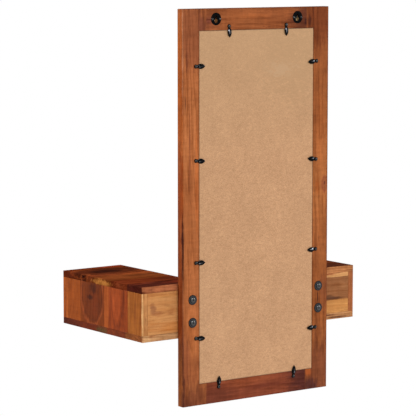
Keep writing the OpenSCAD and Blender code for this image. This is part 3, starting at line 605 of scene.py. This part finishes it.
screw_black = black_steel("screw_black", stain(5, 5, 7), matt=0.16, grain=0.0004, gloss=0.5)
screw = pan_screw(
    "button_screw", shank=3.8 * MM, length=16 * MM, head=8 * MM, head_height=2.2 * MM, seat=1.8 * MM)
screw.data.materials.append(screw_black)
heads = [own_copy(screw, "one_" + name, on_back(x * MM, z * MM, 17 * n))
         for n, (name, (x, z, _, _)) in enumerate(BUTTON_PLACES.items())]
bpy.data.objects.remove(screw)
button_screws = joined(heads, "turn_button_screws")
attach(button_screws, "mirror_body")
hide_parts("button_screws")

screw = pan_screw(
    "plate_screw", shank=3.0 * MM, length=14 * MM, head=6.6 * MM, head_height=1.8 * MM, seat=0.0)
screw.data.materials.append(screw_black)
# Two screws to a plate, left and right of its keyhole, in mm
PLATE_SCREWS_X = (129, 155, -129, -155)
PLATE_MIDDLE_Z = 5
heads = [own_copy(screw, "one_plate_" + str(n), on_back(x * MM, PLATE_MIDDLE_Z * MM, 31 * n))
         for n, x in enumerate(PLATE_SCREWS_X)]
bpy.data.objects.remove(screw)
plate_screws = joined(heads, "plate_screws")
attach(plate_screws, "mirror_body")
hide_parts("hanger_screws")


# Hanger plates
# Two round blackened steel plates, let in flush with the top rail over a pocket, each with a keyhole for
# the head and shank of a wall screw.

def soften(node, width, segments):
    """Rounds the edges of a fitting with live modifiers, which leave its mesh as it is."""
    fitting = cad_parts[node]
    weld = fitting.modifiers.new("weld", "WELD")
    weld.merge_threshold = 0.005 * MM
    edge = fitting.modifiers.new("edge", "BEVEL")
    edge.width = width
    edge.segments = segments
    edge.limit_method = "ANGLE"
    edge.angle_limit = math.radians(50)


plate_black = black_steel("hanger_plate_black", stain(3, 3, 4), matt=0.2, gloss=0.04)
for side in ("right", "left"):
    dress(side + "_hanger_plate", plate_black)
    soften(side + "_hanger_plate", 0.5 * MM, 3)


# Boards of the two drawer boxes
# Each board is glued up from short staves of mixed colour. The grain runs round the box: along X in the
# top, bottom and back, and upright in the sides. Top and bottom run through to the outer faces.

maroon = (86, 40, 26)
walnut = (116, 54, 23)
russet = (146, 66, 29)
chestnut = (158, 80, 32)
amber = (164, 96, 41)
dress("right_box_top", timber(
    "right_box_top_wood", "X",
    [(-0.44, (116, 50, 26)), (-0.4, (98, 45, 25)), (-0.31, (120, 58, 32)), (-0.27, (132, 68, 34)),
     (-0.18, (122, 54, 29)), (-0.1, (82, 37, 28))],
    seed=5.0, heart=(0.1, 0.8), figure=1.35, gloss=0.0,
    hoops=[
        ((0.285, -0.345, -0.7225), (0.085, 0.048, 0.02), (72, 32, 20), 0.6, 0.16),
        ((0.285, -0.345, -0.7225), (0.115, 0.064, 0.02), (150, 72, 36), 0.5, 0.12),
        ((0.373, -0.318, -0.731), (0.02, 0.016, 0.016), (160, 84, 44), 0.6, 0.3),
    ],
    marks=[
        ((0.285, -0.345, -0.7225), (0.066, 0.04, 0.006), (50, 24, 18), 0.9),
        ((0.335, -0.40, -0.7225), (0.045, 0.03, 0.006), (112, 54, 27), 0.7),
        ((0.275, -0.449, -0.7225), (0.16, 0.014, 0.006), (62, 28, 18), 0.75),
        ((0.21, -0.418, -0.7225), (0.055, 0.024, 0.006), (164, 62, 28), 0.85),
        ((0.225, -0.268, -0.7225), (0.09, 0.014, 0.006), (164, 82, 42), 0.85),
        ((0.25, -0.17, -0.7225), (0.08, 0.010, 0.006), (150, 80, 40), 0.6),
        ((0.22, -0.23, -0.7225), (0.09, 0.006, 0.006), (84, 38, 24), 0.7),
        ((0.21, -0.13, -0.7225), (0.05, 0.02, 0.006), (96, 44, 30), 0.6),
        ((0.215, -0.07, -0.7225), (0.07, 0.026, 0.006), (134, 54, 32), 0.6),
        ((0.33, -0.085, -0.7225), (0.06, 0.010, 0.006), (126, 54, 32), 0.5),
        ((0.373, -0.228, -0.733), (0.008, 0.056, 0.011), (204, 136, 68), 0.92),
        ((0.373, -0.392, -0.731), (0.006, 0.03, 0.01), (104, 44, 28), 0.6),
        ((0.373, -0.318, -0.731), (0.012, 0.016, 0.012), (70, 34, 22), 0.7),
        ((0.373, -0.32, -0.731), (0.008, 0.009, 0.008), (26, 16, 20), 0.98),
        ((0.372, -0.14, -0.731), (0.006, 0.035, 0.008), (150, 74, 44), 0.7),
        ((0.372, -0.062, -0.731), (0.006, 0.032, 0.009), (84, 34, 30), 0.8),
        ((0.28, -0.024, -0.731), (0.16, 0.006, 0.04), (176, 106, 70), 0.95),
        ((0.22, -0.025, -0.7245), (0.05, 0.008, 0.004), (110, 56, 40), 0.6),
    ]))
dress("right_box_outer_side", timber(
    "right_box_outer_wood", "Z",
    [(-0.44, chestnut), (-0.339, (120, 56, 22)), (-0.216, (158, 78, 34)), (-0.193, russet), (-0.097, amber)],
    seed=6.0, heart=(-0.33, 0.27), ring=0.012, tilt=0.5, figure=0.85,
    hoops=[
        ((0.373, -0.277, -0.775), (0.02, 0.057, 0.084), (160, 80, 42), 0.55, 0.10),
        ((0.373, -0.277, -0.775), (0.02, 0.049, 0.072), (72, 32, 18), 0.3, 0.09),
        ((0.373, -0.15, -0.70), (0.02, 0.036, 0.150), (104, 44, 24), 0.5, 0.10),
        ((0.373, -0.15, -0.70), (0.02, 0.022, 0.125), (170, 78, 38), 0.4, 0.12),
        ((0.373, -0.40, -0.74), (0.02, 0.026, 0.120), (180, 96, 44), 0.5, 0.12),
    ],
    marks=[
        ((0.373, -0.275, -0.80), (0.006, 0.066, 0.080), (106, 48, 22), 0.85),
        ((0.373, -0.262, -0.80), (0.006, 0.02, 0.045), (124, 54, 24), 0.5),
        ((0.373, -0.27, -0.754), (0.006, 0.026, 0.018), (70, 32, 20), 0.7),
        ((0.373, -0.288, -0.782), (0.006, 0.02, 0.009), (56, 26, 18), 0.8),
        ((0.373, -0.155, -0.79), (0.006, 0.03, 0.07), (158, 72, 34), 0.6),
        ((0.373, -0.185, -0.83), (0.006, 0.006, 0.05), (112, 48, 24), 0.6),
        ((0.373, -0.118, -0.77), (0.006, 0.008, 0.05), (118, 52, 26), 0.5),
        ((0.373, -0.09, -0.80), (0.006, 0.004, 0.07), (196, 128, 66), 0.6),
        ((0.373, -0.06, -0.80), (0.006, 0.007, 0.05), (138, 76, 38), 0.5),
        ((0.364, -0.024, -0.8), (0.03, 0.006, 0.16), (198, 140, 88), 0.95),
        # A painted highlight along the back corner of the side board
        ((0.374, -0.024, -0.8), (0.005, 0.006, 0.16), (232, 186, 130), 0.9),
    ]))
dress("right_box_inner_side", timber(
    "right_box_inner_wood", "Z", [(-0.44, russet), (-0.36, chestnut), (-0.24, amber), (-0.12, walnut)],
    seed=7.0, heart=(-0.15, 0.2), ring=0.008))
dress("right_box_back", timber(
    "right_box_back_wood", "X", [(-0.87, (200, 140, 86))], across="Z", seed=8.0, heart=(0.06, 0.92),
    ring=0.017, figure=0.3,
    hoops=[
        ((0.335, -0.025, -0.787), (0.060, 0.02, 0.014), (166, 106, 60), 0.4, 0.30),
        ((0.330, -0.025, -0.787), (0.110, 0.02, 0.026), (208, 152, 96), 0.4, 0.22),
        ((0.320, -0.025, -0.790), (0.170, 0.02, 0.044), (168, 106, 60), 0.35, 0.12),
    ],
    marks=[
        ((0.336, -0.025, -0.787), (0.013, 0.006, 0.018), (140, 88, 60), 0.65),
        ((0.341, -0.025, -0.775), (0.009, 0.006, 0.010), (150, 96, 64), 0.5),
        ((0.322, -0.025, -0.798), (0.022, 0.006, 0.01), (160, 100, 66), 0.6),
        ((0.284, -0.025, -0.785), (0.014, 0.006, 0.008), (206, 146, 88), 0.6),
        ((0.277, -0.025, -0.80), (0.016, 0.006, 0.01), (166, 100, 58), 0.5),
        ((0.27, -0.025, -0.84), (0.05, 0.006, 0.016), (200, 128, 66), 0.6),
        ((0.3, -0.025, -0.752), (0.05, 0.006, 0.008), (206, 150, 92), 0.6),
    ]))
dress("right_box_bottom", timber(
    "right_box_bottom_wood", "X",
    [(-0.44, (110, 48, 28)), (-0.34, (124, 54, 30)), (-0.25, (116, 66, 38)), (-0.2, (134, 62, 32)),
     (-0.11, (158, 92, 48))],
    seed=9.0, heart=(0.1, 0.95), figure=1.1,
    marks=[
        ((0.373, -0.232, -0.868), (0.006, 0.034, 0.007), (108, 80, 44), 0.85),
        ((0.28, -0.024, -0.866), (0.16, 0.006, 0.03), (192, 144, 100), 0.92),
        ((0.36, -0.02, -0.868), (0.02, 0.02, 0.02), (212, 164, 116), 0.7),
    ]))
dress("left_box_top", timber(
    "left_box_top_wood", "X",
    [(-0.44, russet), (-0.35, (92, 46, 28)), (-0.26, (124, 66, 38)), (-0.15, (104, 54, 34)),
     (-0.08, (84, 44, 30))],
    seed=10.0, heart=(0.1, 0.8), figure=1.3, gloss=0.0,
    marks=[((-0.28, -0.024, -0.731), (0.16, 0.006, 0.04), (192, 128, 82), 0.95)]))
dress("left_box_outer_side", timber(
    "left_box_outer_wood", "Z", [(-0.44, amber), (-0.35, russet), (-0.23, chestnut), (-0.12, walnut)],
    seed=11.0, heart=(0.31, 0.25), ring=0.009, tilt=0.5,
    marks=[((-0.364, -0.024, -0.8), (0.03, 0.006, 0.16), (166, 100, 61), 0.92)]))
dress("left_box_inner_side", timber(
    "left_box_inner_wood", "Z", [(-0.44, walnut), (-0.33, chestnut), (-0.2, russet), (-0.1, amber)],
    seed=12.0, heart=(0.15, 0.2), ring=0.008))
dress("left_box_back", timber(
    "left_box_back_wood", "X",
    [(-0.87, (204, 144, 84)), (-0.819, (150, 98, 62)), (-0.753, (208, 152, 98))],
    across="Z", seed=13.0, heart=(0.06, 0.92), ring=0.015, figure=0.6,
    marks=[
        ((-0.30, -0.025, -0.814), (0.05, 0.006, 0.005), (86, 52, 36), 0.8),
        ((-0.278, -0.025, -0.811), (0.03, 0.006, 0.009), (98, 64, 46), 0.75),
        ((-0.262, -0.025, -0.7415), (0.07, 0.006, 0.0055), (166, 98, 60), 0.9),
        ((-0.262, -0.025, -0.7535), (0.05, 0.006, 0.0055), (158, 104, 66), 0.85),
        ((-0.34, -0.025, -0.78), (0.02, 0.006, 0.01), (176, 120, 78), 0.6),
    ]))
dress("left_box_bottom", timber(
    "left_box_bottom_wood", "X",
    [(-0.44, russet), (-0.32, (124, 54, 30)), (-0.22, maroon), (-0.12, (150, 84, 44))],
    seed=14.0, heart=(0.1, 0.95), figure=1.2,
    marks=[
        ((-0.28, -0.024, -0.866), (0.16, 0.006, 0.03), (190, 138, 92), 0.92),
        ((-0.27, -0.025, -0.8625), (0.05, 0.008, 0.003), (100, 58, 42), 0.9),
        ((-0.31, -0.025, -0.8700), (0.05, 0.008, 0.0025), (104, 62, 44), 0.9),
    ]))

# Beech dowels join the boards, out of sight
dowel = timber("dowel_wood", "Z", [(-0.5, (206, 166, 118))], across="Y", seed=15.0, figure=0.5, matt=0.6)
dress("right_box_dowels", dowel)
dress("left_box_dowels", dowel)


# Bolts, washers and threaded inserts
# Two blackened furniture bolts per box, each over a wide washer, pass through the stile into a zinc-plated
# insert in the back of the box.

zinc = Finish("zinc_plate")
bloom = zinc.cloud(zinc.drawn((0.004, 0.004, 0.004)), 3.0)
turned = zinc.cloud(zinc.drawn((0.0004, 0.004, 0.0004)), 2.0)
dress("box_inserts", zinc.lay_on(
    zinc.tones(bloom, [(0.3, stain(176, 176, 168)), (0.7, stain(204, 204, 196))]),
    zinc.range(bloom, 0.3, 0.7, 0.28, 0.42), turned, 0.00002, metallic=1.0))

# Each washer has rings of painted shade and highlight about its bolt's head: dark in the head's shade, a
# lighter ring of painted highlight, and a dark outer edge
WASHER_X = 0.222
WASHERS_MIDDLE_Z = -0.799
WASHER_OFF_MIDDLE = 0.032
WASHER_RADIUS = 0.014
washer = Finish("washer_black")
place = washer.step("ShaderNodeSeparateXYZ", {0: washer.place}).outputs
x_off = washer.reckon("SUBTRACT", washer.reckon("ABSOLUTE", place["X"]), WASHER_X)
z_off = washer.reckon("ABSOLUTE", washer.reckon("SUBTRACT", place["Z"], WASHERS_MIDDLE_Z))
z_off = washer.reckon("SUBTRACT", z_off, WASHER_OFF_MIDDLE)
away = washer.reckon("ADD", washer.reckon("MULTIPLY", x_off, x_off), washer.reckon("MULTIPLY", z_off, z_off))
away = washer.reckon("SQRT", away)
scuffs = washer.cloud(washer.drawn((0.002, 0.002, 0.002)), 3.0, 0.6)
ring_shading = washer.tones(washer.range(away, 0.0, WASHER_RADIUS), [
    (0.5, stain(10, 10, 12)), (0.6, stain(14, 14, 16)), (0.72, stain(50, 52, 56)), (0.84, stain(40, 42, 46)),
    (0.92, stain(10, 10, 12))])
ring_shading = washer.shaded(ring_shading, scuffs, [(0.35, shade_of(0.75)), (0.65, shade_of(1.2))])
dress("box_washers", washer.lay_on(
    ring_shading, washer.range(scuffs, 0.3, 0.7, 0.24, 0.36), scuffs, 0.00002, specular=0.2))
dress("box_bolts", black_steel("bolt_black", stain(8, 8, 10), matt=0.2, gloss=0.8))
for node in ("box_washers", "box_bolts"):
    soften(node, 0.25 * MM, 2)


# Drawers
# Each has an inset front of staves like the box, plain sides and back of pale wood, and a thin plywood
# bottom that slides in grooves. The box carries it directly on its bottom board.

linden = (202, 156, 104)
DRAWERS = (
    ("right", 16.0, [(0.19, russet), (0.25, amber), (0.305, walnut)]),
    ("left", 21.0, [(-0.36, chestnut), (-0.30, walnut), (-0.24, (150, 80, 40))]),
)
for side, n, staves in DRAWERS:
    drawer = side + "_drawer_"
    dress(drawer + "front", timber(
        drawer + "front_wood", "Z", staves, across="X", seed=n, heart=(0.27, 0.47), figure=1.1))
    side_wood = timber(drawer + "side_wood", "Y", [(-1.0, linden)], across="Z", seed=n + 1, figure=0.6)
    dress(drawer + "outer_side", side_wood)
    dress(drawer + "inner_side", side_wood)
    dress(drawer + "back", timber(
        drawer + "back_wood", "X", [(-1.0, linden)], across="Z", seed=n + 2, figure=0.6))
    dress(drawer + "bottom", timber(
        drawer + "bottom_wood", "X", [(-1.0, (212, 174, 120))], across="Z", seed=n + 3, figure=0.45,
        matt=0.6))


# Knobs
# Cast iron knobs with a domed head on a hollowed neck, blackened, each held by a zinc-plated machine screw
# from inside the drawer.

iron = Finish("cast_iron")
sand = iron.cloud(iron.drawn((0.0013, 0.0013, 0.0013)), 4.0, 0.7)
handled = iron.cloud(iron.drawn((0.009, 0.009, 0.009), (2.0, 1.0, 0)), 3.0)
iron_look = iron.lay_on(
    iron.tones(handled, [(0.35, stain(30, 29, 29)), (0.75, stain(54, 50, 47))]),
    iron.range(handled, 0.3, 0.7, 0.5, 0.38), sand, 0.00018, metallic=0.6)
for side in ("right", "left"):
    dress(side + "_drawer_knob", iron_look)
    dress(side + "_drawer_knob_screw", zinc.material)


# Studio
# A pale floor well below the hanging mirror, four soft lamps and an even white room. The floor fades into
# the room's white, and the camera looks down on the back from the photograph's side.

FLOOR_Z = -1.85
FLOOR_RADIUS = 2.6
FADE_FROM = 1.1
FADE_TO = 2.5
clear_selection()
bpy.ops.mesh.primitive_circle_add(
    vertices=96, radius=FLOOR_RADIUS, fill_type="NGON", location=(0, 0, FLOOR_Z))
floor = bpy.context.object
floor.name = "floor"
ground = bpy.data.materials.new("floor_paint")
ground.use_nodes = True
tree = ground.node_tree
paint = tree.nodes["Principled BSDF"]
paint.inputs["Base Color"].default_value = (0.86, 0.86, 0.86, 1)
paint.inputs["Roughness"].default_value = 0.9
glow = tree.nodes.new("ShaderNodeEmission")
glow.inputs["Color"].default_value = (1, 1, 1, 1)
where = tree.nodes.new("ShaderNodeTexCoord").outputs["Object"]
far = tree.nodes.new("ShaderNodeVectorMath")
far.operation = "LENGTH"
tree.links.new(where, far.inputs[0])
fade = tree.nodes.new("ShaderNodeMapRange")
fade.interpolation_type = "SMOOTHSTEP"
fade.inputs["From Min"].default_value = FADE_FROM
fade.inputs["From Max"].default_value = FADE_TO
tree.links.new(far.outputs["Value"], fade.inputs["Value"])
join = tree.nodes.new("ShaderNodeMixShader")
tree.links.new(fade.outputs["Result"], join.inputs["Fac"])
tree.links.new(paint.outputs["BSDF"], join.inputs[1])
tree.links.new(glow.outputs["Emission"], join.inputs[2])
tree.links.new(join.outputs["Shader"], tree.nodes["Material Output"].inputs["Surface"])
floor.data.materials.append(ground)

# The room is white to the camera and in reflections, and lights the object more from above than from below
world = bpy.data.worlds.new("room")
bpy.context.scene.world = world
world.use_nodes = True
tree = world.node_tree
tree.nodes.clear()
output = tree.nodes.new("ShaderNodeOutputWorld")
seen = tree.nodes.new("ShaderNodeBackground")
seen.inputs["Color"].default_value = (1, 1, 1, 1)
fill = tree.nodes.new("ShaderNodeBackground")
path = tree.nodes.new("ShaderNodeLightPath")
either = tree.nodes.new("ShaderNodeMath")
either.operation = "MAXIMUM"
tree.links.new(path.outputs["Is Camera Ray"], either.inputs[0])
tree.links.new(path.outputs["Is Glossy Ray"], either.inputs[1])
any_of = tree.nodes.new("ShaderNodeMath")
any_of.operation = "MAXIMUM"
tree.links.new(either.outputs["Value"], any_of.inputs[0])
tree.links.new(path.outputs["Is Transmission Ray"], any_of.inputs[1])
height = tree.nodes.new("ShaderNodeSeparateXYZ")
tree.links.new(tree.nodes.new("ShaderNodeTexCoord").outputs["Generated"], height.inputs[0])
levels = tree.nodes.new("ShaderNodeValToRGB")
levels.color_ramp.elements[0].position = 0.0
levels.color_ramp.elements[0].color = (0.36, 0.36, 0.36, 1)
levels.color_ramp.elements[1].position = 1.0
levels.color_ramp.elements[1].color = (0.85, 0.85, 0.85, 1)
lift = tree.nodes.new("ShaderNodeMapRange")
lift.inputs["From Min"].default_value = -1.0
lift.inputs["From Max"].default_value = 1.0
tree.links.new(height.outputs["Z"], lift.inputs["Value"])
tree.links.new(lift.outputs["Result"], levels.inputs["Fac"])
tree.links.new(levels.outputs["Color"], fill.inputs["Color"])
mix = tree.nodes.new("ShaderNodeMixShader")
tree.links.new(any_of.outputs["Value"], mix.inputs["Fac"])
tree.links.new(fill.outputs["Background"], mix.inputs[1])
tree.links.new(seen.outputs["Background"], mix.inputs[2])
tree.links.new(mix.outputs["Shader"], output.inputs["Surface"])


def softbox(name, at, to, size, watts):
    """A lamp with a wide pale face, turned towards a place."""
    lamp = bpy.data.objects.new(name, bpy.data.lights.new(name, "AREA"))
    lamp.data.shape = "RECTANGLE"
    lamp.data.size, lamp.data.size_y = size
    lamp.data.energy = watts
    lamp.location = at
    lamp.rotation_euler = (Vector(to) - Vector(at)).to_track_quat("-Z", "Y").to_euler()
    bpy.context.scene.collection.objects.link(lamp)


softbox("key_lamp", (-0.3, 4.7, 1.5), (0, -0.1, -0.5), (1.1, 1.1), 79)
softbox("side_lamp", (4.0, -1.6, 1.0), (0, -0.2, -0.6), (1.2, 1.6), 66)
softbox("rim_lamp", (-4.6, 2.2, 0.2), (0, -0.1, -0.5), (0.9, 0.9), 44)
softbox("front_lamp", (1.3, -4.6, 1.6), (0, -0.2, -0.6), (1.4, 1.4), 45)

CAMERA_PLACE = (3.6959, 4.8718, 0.1935)
CAMERA_LOOK = (-0.58234, -0.80449, -0.11697)
CAMERA_LENS = 189.74
camera = bpy.data.objects.new("camera", bpy.data.cameras.new("camera"))
camera.data.sensor_width = 36
camera.data.lens = CAMERA_LENS
camera.data.clip_end = 60
camera.location = CAMERA_PLACE
camera.rotation_euler = Vector(CAMERA_LOOK).to_track_quat("-Z", "Y").to_euler()
bpy.context.scene.collection.objects.link(camera)
bpy.context.scene.camera = camera
bpy.context.scene.view_settings.view_transform = "Standard"
